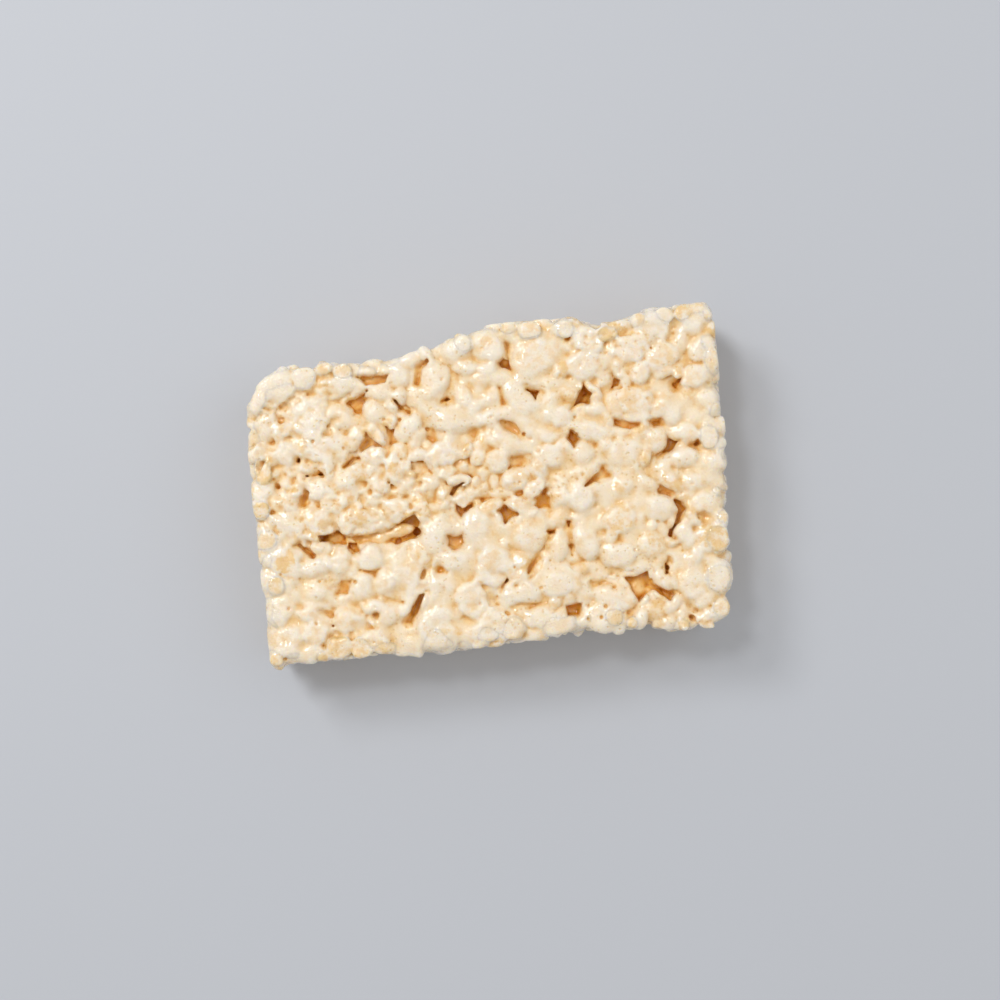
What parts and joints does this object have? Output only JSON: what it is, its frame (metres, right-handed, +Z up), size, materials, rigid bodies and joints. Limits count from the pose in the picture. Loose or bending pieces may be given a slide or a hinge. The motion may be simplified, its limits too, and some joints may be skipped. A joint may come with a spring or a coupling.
{
  "type": "crispy rice treat",
  "caption": "Rectangular block of puffed rice bound with marshmallow, pressed flat on top and cut on all sides, with a lumpy surface.",
  "frame": {"origin": "on the resting face, under the middle of the block", "axes": "+X along the length, +Y towards the back long side, +Z up"},
  "size_m": [0.0985, 0.0672, 0.022],
  "materials": {
    "marshmallow_rice": "satin"
  },
  "bodies": {
    "root": {"crispy_rice_treat": "marshmallow_rice"}
  },
  "joints": []
}
